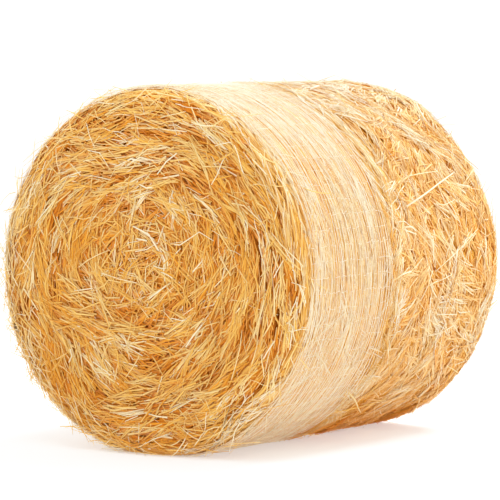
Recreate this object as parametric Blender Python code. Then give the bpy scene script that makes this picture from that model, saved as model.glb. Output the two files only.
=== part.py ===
"""A round bale of straw: stalks wound into a roll, with a band of knitted net pulled tight round it.

Metres, +Z up. The roll's axis lies along Y and its near face looks towards -Y. The bale rests on the
flat spot that its own weight has pressed into it, at z = 0, with the origin under the middle of its box.
"""

import math
import random

import bmesh
import bpy
from mathutils import Vector, noise

# The roll
ROLL_RADIUS = 0.572
ROLL_HALF_WIDTH = 0.600
EDGE_RADIUS = 0.066
FACE_RADIUS = ROLL_RADIUS - EDGE_RADIUS
SIDE_HALF = ROLL_HALF_WIDTH - EDGE_RADIUS
FLAT_DEPTH = 0.020
DOME = 0.008

# Facets
SEGMENTS = 54
FACE_RINGS = 14
EDGE_ANGLES = (22.5, 45.0, 67.5)
NET_STATIONS = 6
SIDE_STATIONS = 9

# The wound layers, which show as a spiral on each face and as soft swells along the side
LAYER_PITCH = 0.130
LAYER_DEPTH = 0.008
CALM_MIDDLE = 0.05
SWELL_PITCH = 0.21
SWELL_DEPTH = 0.004
LUMP_SIZE = 0.19
LUMP_DEPTH = 0.007

# Wads of straw, long with the winding and narrow across it
WAD_ACROSS = 0.075
WADS_ROUND = 3.4
WAD_DEPTH = 0.012

# The net, which starts on the near shoulder and holds the straw in by NET_GROOVE
NET_FAR_Y = -0.100
NET_LIP = 0.014
NET_GROOVE = 0.007
NET_LIP_BULGE = 0.006
NET_THICKNESS = 0.004
NET_WOBBLE = 0.0015
NET_GAP = 0.0005
NET_OFF_FLOOR = 0.002

# Locks of straw that stand out of the roll
LOCK_SEED = 11
NEAR_FACE_LOCKS = 15
FAR_FACE_LOCKS = 15
SIDE_LOCKS = 28
LOCK_LENGTH = (0.13, 0.21)
LOCK_WIDTH = (0.026, 0.042)
LOCK_THICKNESS = (0.012, 0.018)
LOCK_ROOT_DEPTH = 0.016
LOCK_FACE_LIFT = (0.006, 0.013)
LOCK_SIDE_LIFT = (0.010, 0.021)
LOCK_SCATTER = math.radians(28)
LOCK_FACE_RADII = (0.10, 0.44)
LOCK_SIDE_SPAN = (0.010, 0.520)
LOCK_CLEAR_OF_FLOOR = math.radians(50)
LOCK_STEPS = ((0.0, 1.0), (0.35, 1.0), (0.72, 0.62), (1.0, 0.16))

STRAW_COLOUR = (0.70, 0.44, 0.16, 1.0)
NET_COLOUR = (0.86, 0.72, 0.48, 1.0)


def clear_scene():
    for old in list(bpy.data.objects):
        bpy.data.objects.remove(old)


def make_material(name, colour, roughness):
    material = bpy.data.materials.new(name)
    material.use_nodes = True
    shader = material.node_tree.nodes["Principled BSDF"]
    shader.inputs["Base Color"].default_value = colour
    shader.inputs["Roughness"].default_value = roughness
    shader.inputs["Metallic"].default_value = 0.0
    return material


def add_object(name, mesh, material, parent):
    obj = bpy.data.objects.new(name, mesh)
    obj.parent = parent
    mesh.materials.append(material)
    bpy.context.scene.collection.objects.link(obj)
    return obj


def smooth_step(low, high, value):
    share = min(1.0, max(0.0, (value - low) / (high - low)))
    return share * share * (3 - 2 * share)


def lumps(point, size, depth):
    return depth * noise.noise(Vector(point) / size)


def wads(across, turn):
    """Long low wads: across is the distance across the winding."""
    spot = Vector((across / WAD_ACROSS, WADS_ROUND * math.cos(turn), WADS_ROUND * math.sin(turn)))
    return WAD_DEPTH * noise.noise(spot)


def edge_stations(side):
    """Stations (y, r, normal_y, normal_r) round the rounded edge, from the face outwards."""
    stations = []
    for degrees in EDGE_ANGLES:
        angle = math.radians(degrees)
        y = side * (SIDE_HALF + EDGE_RADIUS * math.cos(angle))
        r = FACE_RADIUS + EDGE_RADIUS * math.sin(angle)
        stations.append((y, r, side * math.cos(angle), math.sin(angle)))
    return stations


def face_stations(side):
    """Stations across a face, from its middle outwards, without the middle itself."""
    radii = [FACE_RADIUS * (i + 1) / FACE_RINGS for i in range(FACE_RINGS)]
    return [(side * ROLL_HALF_WIDTH, r, side, 0.0) for r in radii]


def side_station(y):
    return (y, ROLL_RADIUS, 0.0, 1.0)


def net_stations():
    """The stations that the net covers: the last of the near edge, then evenly along the side."""
    step = (NET_FAR_Y + SIDE_HALF) / NET_STATIONS
    along = [side_station(-SIDE_HALF + step * i) for i in range(NET_STATIONS + 1)]
    return edge_stations(-1)[-1:] + along


def roll_stations():
    """Every station of the roll, from the near face to the far one, each with whether the net lies on it."""
    near = face_stations(-1) + edge_stations(-1)[:-1]
    covered = net_stations()
    lip = NET_FAR_Y + NET_LIP
    step = (SIDE_HALF - lip) / SIDE_STATIONS
    open_side = [side_station(lip + step * i) for i in range(SIDE_STATIONS + 1)]
    far = edge_stations(1)[::-1] + face_stations(1)[::-1]
    groups = ((near, False), (covered, True), (open_side, False), (far, False))
    return [(station, held) for stations, held in groups for station in stations]


def on_roll(station, turn, height=0.0):
    """The point at a turn about the axis, measured from the top towards +X, at a height over the roll."""
    y, r, normal_y, normal_r = station
    radius = r + normal_r * height
    return Vector((radius * math.sin(turn), y + normal_y * height, radius * math.cos(turn)))


def face_relief(station, turn):
    """A low dome with the wound layers' spiral ridges on it, faded out at the middle and the edge."""
    _, r, normal_y, _ = station
    dome = DOME * (1 - (r / FACE_RADIUS) ** 2)
    winding = r / LAYER_PITCH - normal_y * turn / math.tau
    ridge = math.cos(math.tau * winding)
    share = smooth_step(CALM_MIDDLE, 3 * CALM_MIDDLE, r)
    return dome + share * (LAYER_DEPTH * ridge + wads(normal_y * (r + 1), turn))


def side_relief(station, turn):
    """Soft swells along the open side, with the straw bulging out just past the net."""
    y = station[0]
    swell = SWELL_DEPTH * math.cos(math.tau * (y - NET_FAR_Y) / SWELL_PITCH)
    past_net = 1 - smooth_step(0.0, 0.09, abs(y - NET_FAR_Y - 0.03))
    return swell + NET_LIP_BULGE * past_net + wads(y, turn)


def net_wobble(point):
    return lumps(point, LUMP_SIZE, NET_WOBBLE)


def roll_height(station, turn, held):
    point = on_roll(station, turn)
    if held:
        return net_wobble(point) - NET_GROOVE
    on_face = abs(station[2]) == 1.0
    relief = face_relief(station, turn) if on_face else side_relief(station, turn)
    return relief + lumps(point, LUMP_SIZE, LUMP_DEPTH)


def set_down(point, least_z=0.0):
    """The point with the roll's middle lifted to where the flat spot carries it, and pressed flat below."""
    z = point.z + ROLL_RADIUS - FLAT_DEPTH
    return Vector((point.x, point.y, max(z, least_z)))


def ring(bm, station, height_of, least_z):
    turns = [math.tau * i / SEGMENTS for i in range(SEGMENTS)]
    points = [on_roll(station, turn, height_of(station, turn)) for turn in turns]
    return [bm.verts.new(set_down(point, least_z)) for point in points]


def join_rings(bm, first, second):
    """Triangles between two rings, always split along the same diagonal."""
    for i in range(SEGMENTS):
        k = (i + 1) % SEGMENTS
        bm.faces.new((first[i], second[i], second[k]))
        bm.faces.new((first[i], second[k], first[k]))


def close_face(bm, outline, side):
    middle = bm.verts.new(set_down(Vector((0, side * (ROLL_HALF_WIDTH + DOME), 0))))
    for i in range(SEGMENTS):
        k = (i + 1) % SEGMENTS
        bm.faces.new((middle, outline[i], outline[k]))


def finish_mesh(bm, name):
    bmesh.ops.recalc_face_normals(bm, faces=bm.faces)
    mesh = bpy.data.meshes.new(name)
    bm.to_mesh(mesh)
    bm.free()
    mesh.shade_smooth()
    mesh.set_sharp_from_angle(angle=math.radians(50))
    return mesh


def roll_mesh():
    bm = bmesh.new()
    under_net = NET_OFF_FLOOR + NET_THICKNESS + NET_GAP
    rings = []
    for station, held in roll_stations():
        least_z = under_net if held else 0.0
        rings.append(ring(bm, station, lambda s, t, held=held: roll_height(s, t, held), least_z))
    for first, second in zip(rings, rings[1:]):
        join_rings(bm, first, second)
    close_face(bm, rings[0], -1)
    close_face(bm, rings[-1], 1)
    return finish_mesh(bm, "straw_roll")


def net_mesh():
    """The band: an inner skin just clear of the straw, an outer skin, and a rim along each border."""
    bm = bmesh.new()

    def skin(over_straw, least_z):
        def height(station, turn):
            return net_wobble(on_roll(station, turn)) - NET_GROOVE + over_straw

        return [ring(bm, station, height, least_z) for station in net_stations()]

    inner = skin(NET_GAP, NET_OFF_FLOOR + NET_THICKNESS)
    outer = skin(NET_GAP + NET_THICKNESS, NET_OFF_FLOOR)
    for skin_rings in (inner, outer):
        for first, second in zip(skin_rings, skin_rings[1:]):
            join_rings(bm, first, second)
    join_rings(bm, inner[0], outer[0])
    join_rings(bm, inner[-1], outer[-1])
    return finish_mesh(bm, "net_wrap")


def lock_line(place, lifts, rng):
    """Cross-sections of one lock along its length: (middle, across, up, half width, half thickness)."""
    length = rng.uniform(*LOCK_LENGTH)
    half_width = rng.uniform(*LOCK_WIDTH) / 2
    half_thickness = rng.uniform(*LOCK_THICKNESS) / 2
    lift = rng.uniform(*lifts)
    sections = []
    for share, taper in LOCK_STEPS:
        rise = -LOCK_ROOT_DEPTH + (lift + LOCK_ROOT_DEPTH) * share**0.8
        middle, up, along = place(length * share, rise)
        sections.append((middle, along.cross(up), up, half_width * taper, half_thickness * taper))
    return sections


def lock_mesh(name, sections):
    """A flattened lock with a diamond cross-section, closed at both ends."""
    bm = bmesh.new()
    loops = []
    for middle, across, up, half_width, half_thickness in sections:
        corners = (across * half_width, up * half_thickness, -across * half_width, -up * half_thickness)
        loops.append([bm.verts.new(set_down(middle + corner)) for corner in corners])
    for first, second in zip(loops, loops[1:]):
        for i in range(4):
            k = (i + 1) % 4
            bm.faces.new((first[i], first[k], second[k], second[i]))
    bm.faces.new(loops[0][::-1])
    bm.faces.new(loops[-1])
    return finish_mesh(bm, name)


def face_place(side, rng):
    """Where a lock on a face lies: roughly along the winding."""
    turn = rng.uniform(-math.pi + LOCK_CLEAR_OF_FLOOR, math.pi - LOCK_CLEAR_OF_FLOOR)
    radius = rng.uniform(*LOCK_FACE_RADII)
    start = Vector((radius * math.sin(turn), side * (ROLL_HALF_WIDTH + DOME / 2), radius * math.cos(turn)))
    heading = turn + math.pi / 2 + rng.uniform(-LOCK_SCATTER, LOCK_SCATTER)
    along = Vector((math.sin(heading), 0, math.cos(heading)))
    up = Vector((0, side, 0))
    return lambda distance, rise: (start + along * distance + up * rise, up, along)


def side_place(rng):
    """Where a lock on the open side lies: bent round the roll with the winding."""
    turn = rng.uniform(-math.pi + LOCK_CLEAR_OF_FLOOR, math.pi - LOCK_CLEAR_OF_FLOOR)
    y = rng.uniform(*LOCK_SIDE_SPAN)
    scatter = rng.uniform(-LOCK_SCATTER, LOCK_SCATTER)
    heading = -1 if turn > 0 else 1
    inwards = 1 if y < sum(LOCK_SIDE_SPAN) / 2 else -1
    drift = inwards * abs(math.sin(scatter))

    def place(distance, rise):
        here = turn + heading * math.cos(scatter) * distance / ROLL_RADIUS
        up = Vector((math.sin(here), 0, math.cos(here)))
        round_roll = Vector((math.cos(here), 0, -math.sin(here))) * heading
        along = (round_roll * math.cos(scatter) + Vector((0, drift, 0))).normalized()
        middle = up * (ROLL_RADIUS + rise) + Vector((0, y + drift * distance, 0))
        return middle, up, along

    return place


def make_locks(parent):
    """One closed cutter for each lock, in a collection that the roll's Boolean takes in."""
    collection = bpy.data.collections.new("locks")
    bpy.context.scene.collection.children.link(collection)
    rng = random.Random(LOCK_SEED)
    places = [(face_place(-1, rng), LOCK_FACE_LIFT) for _ in range(NEAR_FACE_LOCKS)]
    places += [(face_place(1, rng), LOCK_FACE_LIFT) for _ in range(FAR_FACE_LOCKS)]
    places += [(side_place(rng), LOCK_SIDE_LIFT) for _ in range(SIDE_LOCKS)]
    for number, (place, lifts) in enumerate(places):
        name = f"lock_{number:02d}"
        lock = bpy.data.objects.new(name, lock_mesh(name, lock_line(place, lifts, rng)))
        lock.parent = parent
        lock.hide_render = True
        lock.display_type = "WIRE"
        collection.objects.link(lock)
    return collection


def fuse_locks(roll, collection):
    fuse = roll.modifiers.new("locks", "BOOLEAN")
    fuse.operation = "UNION"
    fuse.operand_type = "COLLECTION"
    fuse.solver = "EXACT"
    fuse.collection = collection


def centre_on_origin(frame, roll):
    """Moves the bale so that the origin is under the middle of its box, with its flat spot at z = 0."""
    bpy.context.view_layer.update()
    graph = bpy.context.evaluated_depsgraph_get()
    corners = [Vector(corner) for corner in roll.evaluated_get(graph).bound_box]
    for axis in (0, 1):
        low = min(corner[axis] for corner in corners)
        high = max(corner[axis] for corner in corners)
        frame.location[axis] = -(low + high) / 2
    bpy.context.view_layer.update()


def build():
    clear_scene()
    frame = bpy.data.objects.new("bale_frame", None)
    bpy.context.scene.collection.objects.link(frame)
    straw = make_material("straw", STRAW_COLOUR, 0.75)
    net = make_material("net", NET_COLOUR, 0.6)
    roll = add_object("straw_roll", roll_mesh(), straw, frame)
    add_object("net_wrap", net_mesh(), net, frame)
    fuse_locks(roll, make_locks(frame))
    centre_on_origin(frame, roll)


build()
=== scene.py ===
"""The looks of the round bale: the pressed straw, the stalks laid over it, and the knitted net.

Every stalk is laid on the plain form of the roll, a cylinder with rounded edges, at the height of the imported
solid there. Metres, in the row frame: the roll's axis lies along Y and the netted end looks towards -Y.
"""

import itertools
import math
from dataclasses import dataclass, replace

import bpy
import numpy as np
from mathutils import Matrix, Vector
from mathutils.bvhtree import BVHTree


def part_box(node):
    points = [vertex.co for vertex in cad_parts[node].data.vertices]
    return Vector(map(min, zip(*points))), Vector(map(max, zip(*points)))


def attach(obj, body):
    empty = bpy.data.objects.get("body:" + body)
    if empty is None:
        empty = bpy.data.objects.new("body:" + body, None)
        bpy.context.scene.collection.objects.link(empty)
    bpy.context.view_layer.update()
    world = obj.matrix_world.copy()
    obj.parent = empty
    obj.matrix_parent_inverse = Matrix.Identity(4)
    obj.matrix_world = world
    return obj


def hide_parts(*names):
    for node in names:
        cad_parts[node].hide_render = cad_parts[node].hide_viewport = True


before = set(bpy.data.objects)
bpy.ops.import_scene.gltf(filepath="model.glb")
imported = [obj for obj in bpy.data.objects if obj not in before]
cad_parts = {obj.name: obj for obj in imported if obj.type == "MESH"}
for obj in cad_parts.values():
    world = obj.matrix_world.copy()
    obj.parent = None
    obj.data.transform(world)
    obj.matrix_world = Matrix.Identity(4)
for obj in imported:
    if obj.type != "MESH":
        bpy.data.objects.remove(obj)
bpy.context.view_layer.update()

# The plain form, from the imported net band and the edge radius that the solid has
NET_SINK = 0.003
EDGE_RADIUS = 0.066
ROLL_HALF_WIDTH = 0.600
NET_FAR_FROM_MIDDLE = -0.100
NET_START_ANGLE = math.radians(67.5)
net_low, net_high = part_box("net_wrap")
ROLL_RADIUS = (net_high.x - net_low.x) / 2 + NET_SINK
FACE_RADIUS = ROLL_RADIUS - EDGE_RADIUS
SIDE_HALF = ROLL_HALF_WIDTH - EDGE_RADIUS
AXIS = np.array(
    [(net_low.x + net_high.x) / 2, net_high.y - NET_FAR_FROM_MIDDLE, net_high.z - ROLL_RADIUS + NET_SINK]
)

# Distances along the form's outline, from the middle of the near face to the middle of the far one
QUARTER = EDGE_RADIUS * math.pi / 2
NET_START = FACE_RADIUS + EDGE_RADIUS * NET_START_ANGLE
NET_END = FACE_RADIUS + QUARTER + NET_FAR_FROM_MIDDLE + SIDE_HALF
FAR_EDGE = FACE_RADIUS + QUARTER + 2 * SIDE_HALF
OUTLINE = 2 * (FACE_RADIUS + QUARTER + SIDE_HALF)

FLOOR_CLEARANCE = 0.0004


def linear(red, green, blue):
    """A linear colour from one given as it looks on a screen, 0 to 255."""
    shares = [value / 255 for value in (red, green, blue)]
    return tuple(s / 12.92 if s <= 0.04045 else ((s + 0.055) / 1.055) ** 2.4 for s in shares) + (1.0,)


# Colours of the stalks, from the browns painted as shade deep down to bleached on top
PAINTED_SHADOW_BROWN = linear(112, 50, 6)
PAINTED_SHADE_BROWN = linear(192, 84, 8)
BURNT_GOLD = linear(236, 134, 26)
DEEP_GOLD = linear(240, 150, 40)
TAN = linear(246, 167, 58)
GOLD = linear(250, 189, 94)
STRAW = linear(253, 212, 140)
CREAM = linear(255, 234, 192)
WARM_GOLD = linear(252, 170, 78)
LIGHT_GOLD = linear(250, 176, 74)
PEACH = linear(249, 191, 122)
GREY_GREEN = linear(228, 194, 124)
PALE_CREAM = linear(255, 232, 202)
BAND_AMBER = linear(228, 152, 62)
BAND_GOLD = linear(238, 172, 90)
BAND_PEACH = linear(240, 191, 123)
BAND_CREAM = linear(244, 212, 164)
BAND_WHITE = linear(250, 234, 204)
JOINT_BROWN = linear(214, 138, 60)
FLOOR_WHITE = (0.85, 0.85, 0.85, 1.0)
FLOOR_GLOW = 0.34
FLOOR_SIZE = 60
FLOOR_HEIGHT = -0.0005


def unit(vectors):
    return vectors / np.maximum(np.linalg.norm(vectors, axis=-1, keepdims=True), 1e-9)


def smooth(share):
    share = np.clip(share, 0, 1)
    return share * share * (3 - 2 * share)


def form_point(outline, turn):
    """The form's point and outward normal at a distance along its outline and a turn from the top."""
    outline = np.asarray(outline, float)
    mirrored = outline > OUTLINE / 2
    near = np.where(mirrored, OUTLINE - outline, outline)
    angle = np.clip((near - FACE_RADIUS) / EDGE_RADIUS, 0, math.pi / 2)
    core = np.minimum(near, FACE_RADIUS)
    past_edge = np.maximum(near - FACE_RADIUS - QUARTER, 0)
    side = np.where(mirrored, 1.0, -1.0)
    radial = core + EDGE_RADIUS * np.sin(angle)
    y = side * (SIDE_HALF - past_edge + EDGE_RADIUS * np.cos(angle))
    around = np.stack([np.sin(turn), np.zeros_like(radial), np.cos(turn)], -1)
    normal = around * np.sin(angle)[..., None] + np.array([0, 1.0, 0]) * (side * np.cos(angle))[..., None]
    point = AXIS + around * radial[..., None] + np.array([0, 1.0, 0]) * y[..., None]
    return point, normal


def on_form(points):
    """Each point's foot on the form, the outward normal there, and the foot's outline distance and turn."""
    local = points - AXIS
    radial = np.hypot(local[..., 0], local[..., 2])
    turn = np.arctan2(local[..., 0], local[..., 2])
    core = np.minimum(radial, FACE_RADIUS)
    core_y = np.clip(local[..., 1], -SIDE_HALF, SIDE_HALF)
    out = radial - core
    along = local[..., 1] - core_y
    angle = np.arctan2(out, np.abs(along) + 1e-12)
    near = np.where(core < FACE_RADIUS, core, FACE_RADIUS + EDGE_RADIUS * angle)
    outline = np.where(along > 0, OUTLINE - near, near + (core_y + SIDE_HALF))
    foot, normal = form_point(outline, turn)
    return foot, normal, outline, turn


def round_roll(turn):
    """The direction in which the stalks are wound."""
    return np.stack([np.cos(turn), np.zeros_like(turn), -np.sin(turn)], -1)


def turns_round(count):
    return np.linspace(-math.pi, math.pi, count + 1)[:-1]


class Relief:
    """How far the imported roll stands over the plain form, read on a grid of outline distance and turn.

    The steps at the net's edges are smoothed, because the stalks lie softly over them.
    """

    ROWS = 231
    TURNS = 360
    REACH = 0.07
    EDGE_REACH = 0.09
    EDGE_PASSES = 30

    def __init__(self, roll):
        tree = BVHTree.FromObject(roll, bpy.context.evaluated_depsgraph_get())
        rows = np.linspace(0, OUTLINE, self.ROWS)
        outline, turn = np.meshgrid(rows, turns_round(self.TURNS), indexing="ij")
        points, normals = form_point(outline, turn)
        self.grid = np.zeros(outline.shape)
        for index in np.ndindex(outline.shape):
            normal = Vector(normals[index])
            start = Vector(points[index]) + normal * self.REACH
            hit = tree.ray_cast(start, -normal, 2 * self.REACH)
            if hit[0] is not None:
                self.grid[index] = self.REACH - hit[3]
        soft = self.grid
        for _ in range(self.EDGE_PASSES):
            padded = np.pad(soft, ((1, 1), (0, 0)), "edge")
            soft = (padded[:-2] + 2 * soft + padded[2:]) / 4
        from_edge = np.minimum(np.abs(outline - NET_START), np.abs(outline - NET_END))
        near_edge = np.exp(-((from_edge / self.EDGE_REACH) ** 2))
        self.grid = self.grid * (1 - near_edge) + soft * near_edge

    def __call__(self, outline, turn):
        row = np.clip(outline / OUTLINE, 0, 1) * (self.ROWS - 1)
        column = (turn + math.pi) / math.tau * self.TURNS
        low_row = np.minimum(row.astype(int), self.ROWS - 2)
        low_column = np.floor(column).astype(int)
        down = row - low_row
        across = column - low_column
        first = low_column % self.TURNS
        second = (low_column + 1) % self.TURNS
        upper = self.grid[low_row, first] * (1 - across) + self.grid[low_row, second] * across
        lower = self.grid[low_row + 1, first] * (1 - across) + self.grid[low_row + 1, second] * across
        return upper * (1 - down) + lower * down


NOISE_CELLS = 32


def soft_noise(points, size, seed):
    """Smooth noise from -1 to 1, in lumps of a size."""
    table = np.random.default_rng(seed).uniform(-1, 1, (NOISE_CELLS,) * 3)
    spot = points / size
    cell = np.floor(spot).astype(int)
    share = smooth(spot - cell)
    value = np.zeros(points.shape[:-1])
    for corner in itertools.product((0, 1), repeat=3):
        weight = np.prod(np.where(np.array(corner) == 1, share, 1 - share), axis=-1)
        spots = (cell + np.array(corner)) % NOISE_CELLS
        value += weight * table[spots[..., 0], spots[..., 1], spots[..., 2]]
    return value


LAYER_SEED = 71
LAYERING = 0.0035
HOLLOW = 0.006
BODY_HOLLOW = 0.016
LAYER_WIDTH = 0.032
LAYERS_ROUND = 2.6


def layer_noise(outline, turn, seed):
    """Noise that is long with the winding and narrow across it."""
    spots = np.stack([outline / LAYER_WIDTH, LAYERS_ROUND * np.cos(turn), LAYERS_ROUND * np.sin(turn)], -1)
    return soft_noise(spots, 1.0, seed)


def round_noise(turn, size, seed):
    """Smooth noise round the roll, in lumps of a size."""
    spots = np.stack([np.cos(turn), np.sin(turn), np.zeros_like(turn)], -1) * ROLL_RADIUS
    return soft_noise(spots, size, seed)


# The pale band's ragged borders: turns from the top in degrees, and millimetres past the net's edges there,
# chosen on the side that the photograph shows and made up on the other
NEAR_POINTS = (
    (-140, -30), (-70, -60), (0, 0), (22, -20), (42, -52), (64, -85), (84, -44), (105, -14), (130, -38),
)
FAR_POINTS = (
    (-110, 20), (-60, 70), (0, 60), (30, 100), (61, 108),
    (70, 20), (88, -14), (101, 66), (118, 86), (133, -22),
)
NEAR_WANDER = 0.006
FAR_WANDER = 0.010
FINE_WANDER = 0.006
BORDER_INSIDE = 0.022
BORDER_PAST = 0.040


def wander(points, turn):
    """A border's offset in metres at a turn, smoothly between its points and round the back."""
    turns, offsets = np.array(points, float).T
    return np.interp(np.degrees(turn), turns, offsets, period=360) / 1000


def near_border(turn):
    noise = NEAR_WANDER * round_noise(turn, 0.12, 91) + FINE_WANDER * round_noise(turn, 0.04, 92)
    return NET_START + wander(NEAR_POINTS, turn) + noise


def far_border(turn):
    noise = FAR_WANDER * round_noise(turn, 0.12, 93) + FINE_WANDER * round_noise(turn, 0.05, 94)
    return NET_END + wander(FAR_POINTS, turn) + noise


def inside_far_border(turn):
    return far_border(turn) - BORDER_INSIDE


def past_far_border(turn):
    return far_border(turn) + BORDER_PAST


def border(edge, turn):
    """A zone's edge at a turn: a fixed distance, or a border that wanders."""
    return edge(turn) if callable(edge) else np.full_like(turn, edge)


BORDER_BLEND = 0.03


def in_band(outline, turn):
    """1 in the pale band and 0 outside it, with a soft change just inside each border."""
    past_near = smooth((outline - near_border(turn)) / BORDER_BLEND)
    past_far = smooth((outline - far_border(turn)) / BORDER_BLEND + 1)
    return past_near * (1 - past_far)


def off_band(outline, turn):
    """0 in the pale band and 1 away from it, with a soft change just outside each border."""
    short_of_near = smooth((near_border(turn) - outline) / BORDER_BLEND)
    past_far = smooth((outline - far_border(turn)) / BORDER_BLEND)
    return np.maximum(short_of_near, past_far)


@dataclass(frozen=True)
class Layer:
    """How one layer of stalks lies. Pairs are the lowest and highest value, and angles are in degrees."""

    tufts: int
    per_tuft: int
    length: tuple
    depth: tuple
    width: tuple = (0.0026, 0.0074)
    unruly: float = 1.0
    fan: float = 4.5
    tuft_size: tuple = (0.022, 0.010)
    mound: float = 0.0035
    jitter: float = 0.0005
    raised_ends: float = 0.07
    end_lift: tuple = (0.002, 0.009)
    end_tuck: tuple = (0.0005, 0.003)
    thickness: tuple = (0.07, 0.13)
    long_share: float = 0.5
    bow: float = 0.07
    tone: float = 0.45
    tone_spread: float = 0.17
    bright_share: float = 0.07
    layering: float = LAYERING
    hollow: float = HOLLOW
    thinning: float = 0.85
    edges: tuple = ()


@dataclass(frozen=True)
class Zone:
    """A stretch of the form's outline and the layers of stalks on it, the deepest first.

    strays: how far the stalks turn from the winding, in degrees, at distances from the axis. shades: how far
    below its neighbours a stalk is painted darkest, as painted shade, and brightest. matted: how much more
    they
    turn low down. greyer_at_widest: how much greyer they are at the widest height. streaked: how much tones
    differ by streak.
    """

    name: str
    seed: int
    edges: tuple
    layers: tuple
    strays: tuple
    shades: tuple = (0.0070, 0.0)
    matted: float = 0.0
    greyer_at_widest: float = 0.0
    streaked: float = 0.0


def spread(rng, pair, count):
    return rng.uniform(pair[0], pair[1], count)


def scatter(rng, edges, count):
    """Points spread evenly over a stretch of the form: outline distances and turns."""
    turn = rng.uniform(-math.pi, math.pi, count)
    low, high = (border(edge, np.zeros(1))[0] for edge in edges)
    ladder = np.linspace(low, high, 400)
    points, _ = form_point(ladder, np.zeros_like(ladder))
    weight = np.cumsum(points[:, 2] - AXIS[2] + 1e-4)
    weight = (weight - weight[0]) / (weight[-1] - weight[0])
    share = (np.interp(rng.uniform(0, 1, count), weight, ladder) - low) / (high - low)
    low, high = (border(edge, turn) for edge in edges)
    return low + share * (high - low), turn


# How the stalks' angles drift over the roll and from tuft to tuft
DRIFT_SIZE = 0.13
NOISE_SPREAD = 0.35
SLOW_DRIFT = 0.7
TUFT_DRIFT = 0.7
STALK_BOW = 0.35
MOST_MOUND = 3
LONGER = 1.35
MATTED_FROM = math.radians(90)
MATTED_REACH = math.radians(28)

# How much the tones differ from stalk to stalk and over broad clumps, and with the wound rows: the sunk rows
# are painted darker, as painted shade in the grooves, and the raised ones paler
BRIGHT_BOOST = 0.24
STALK_TONES = 0.12
ROW_PAINTED_SHADE = 0.8
BROAD_TONES = 0.34
BROAD_SIZE = 3.0

# Grooves at the rims, hollows between clumps, and streaks along the winding
RIM_GROOVES = 1.6
RIM_START = 0.44
RIM_WIDTH = 0.07
CLUMP_WIDTH = 0.009
CLUMPS_ROUND = 13.0
HOLLOW_START = 0.18
HOLLOW_REACH = 0.24
HOLLOW_DRIFT = 0.28
HOLLOW_GROUPS = 4.0
STREAK_WIDTH = 0.009
STREAKS_ROUND = 3.5

# Painted light and shade by height: how much paler the stalks are painted at the top than half way up and on
# the crown, as painted light, and how much darker at the foot, as painted shade
HEIGHT_PAINTED_LIGHT = 0.12
CROWN_PAINTED_LIGHT = 0.16
CROWN_FROM = 0.80
CONTACT_PAINTED_SHADE = 0.40
CONTACT_FROM = 0.72

# Crevices between the wound layers, at the near shoulder first and then on the open side: outline distance,
# the turns in degrees that it runs between, half its width, and how open it is
CREVICES = (
    (0.41, 70, 95, 0.011, 1.0),
    (0.463, 80, 97, 0.010, 0.85),
    (0.531, 88, 103, 0.008, 0.55),
    (0.482, 98, 112, 0.011, 1.0),
    (0.517, 118, 137, 0.010, 1.0),
    (0.385, 105, 121, 0.009, 1.0),
    (0.545, 54, 67, 0.009, 1.0),
    (0.52, 44, 54, 0.009, 0.9),
    (0.537, 28, 39, 0.008, 0.9),
    (0.423, 40, 48, 0.008, 0.8),
    (1.17, 42, 51, 0.020, 0.6),
    (1.078, 65, 74, 0.012, 0.6),
    (1.052, 78, 90, 0.010, 0.7),
    (1.18, 80, 87, 0.011, 0.6),
    (1.335, 87, 97, 0.013, 0.7),
    (1.50, 82, 90, 0.009, 0.7),
    (1.25, 100, 108, 0.012, 0.6),
)
CREVICE_ENDS = 3.0
CREVICE_DEPTH = 0.014
# Painted shade: stalks in a crevice are painted darker
CREVICE_PAINTED_SHADE = 0.5
CREVICE_THINNING = 0.93
CREVICE_STEPS = (-0.4, -0.2, 0.0, 0.2, 0.4)
# Painted shadow: the body in hollows is painted partly dark brown, and in crevices fully
GAP_PAINTED_SHADE = 0.35


def clump_spots(outline, turn):
    """Places for noise in lumps that are longer with the winding than across it."""
    return np.stack([outline / CLUMP_WIDTH, CLUMPS_ROUND * np.cos(turn), CLUMPS_ROUND * np.sin(turn)], -1)


def streak_noise(outline, turn):
    """Noise in narrow streaks along the winding, as the combed stalks of the band lie."""
    spots = np.stack([outline / STREAK_WIDTH, STREAKS_ROUND * np.cos(turn), STREAKS_ROUND * np.sin(turn)], -1)
    return soft_noise(spots, 1.0, 80)


def hollows(outline, turn):
    """1 in the hollows between clumps of stalks and 0 on the clumps. They gather in some stretches."""
    spots = clump_spots(outline, turn)
    start = HOLLOW_START + HOLLOW_DRIFT * soft_noise(spots, HOLLOW_GROUPS, 78)
    return smooth((-soft_noise(spots, 1.0, 77) - start) / HOLLOW_REACH)


def crevices(outline, turn):
    """1 in the middle of a crevice and 0 away from them."""
    degrees = np.degrees(turn)
    most = np.zeros(np.shape(outline))
    for place, start, end, half, openness in CREVICES:
        across = 1 - smooth(np.abs(outline - place) / half)
        along = smooth((degrees - start) / CREVICE_ENDS) * smooth((end - degrees) / CREVICE_ENDS)
        most = np.maximum(most, openness * across * along)
    return most


def crevices_under(foot, heading, length):
    """How far each stalk lies over a crevice anywhere along it, 0 to 1."""
    steps = np.array(CREVICE_STEPS)[None, :, None]
    _, _, outline, turn = on_form(foot[:, None] + heading[:, None] * steps * length[:, None, None])
    return crevices(outline, turn).max(1)


def groove_scale(outline):
    """How much deeper the wound layers part at the rims than on the faces."""
    from_rim = np.abs(np.abs(outline - OUTLINE / 2) - (OUTLINE / 2 - RIM_START - RIM_WIDTH))
    return 1 + RIM_GROOVES * (1 - smooth(from_rim / RIM_WIDTH))


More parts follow.
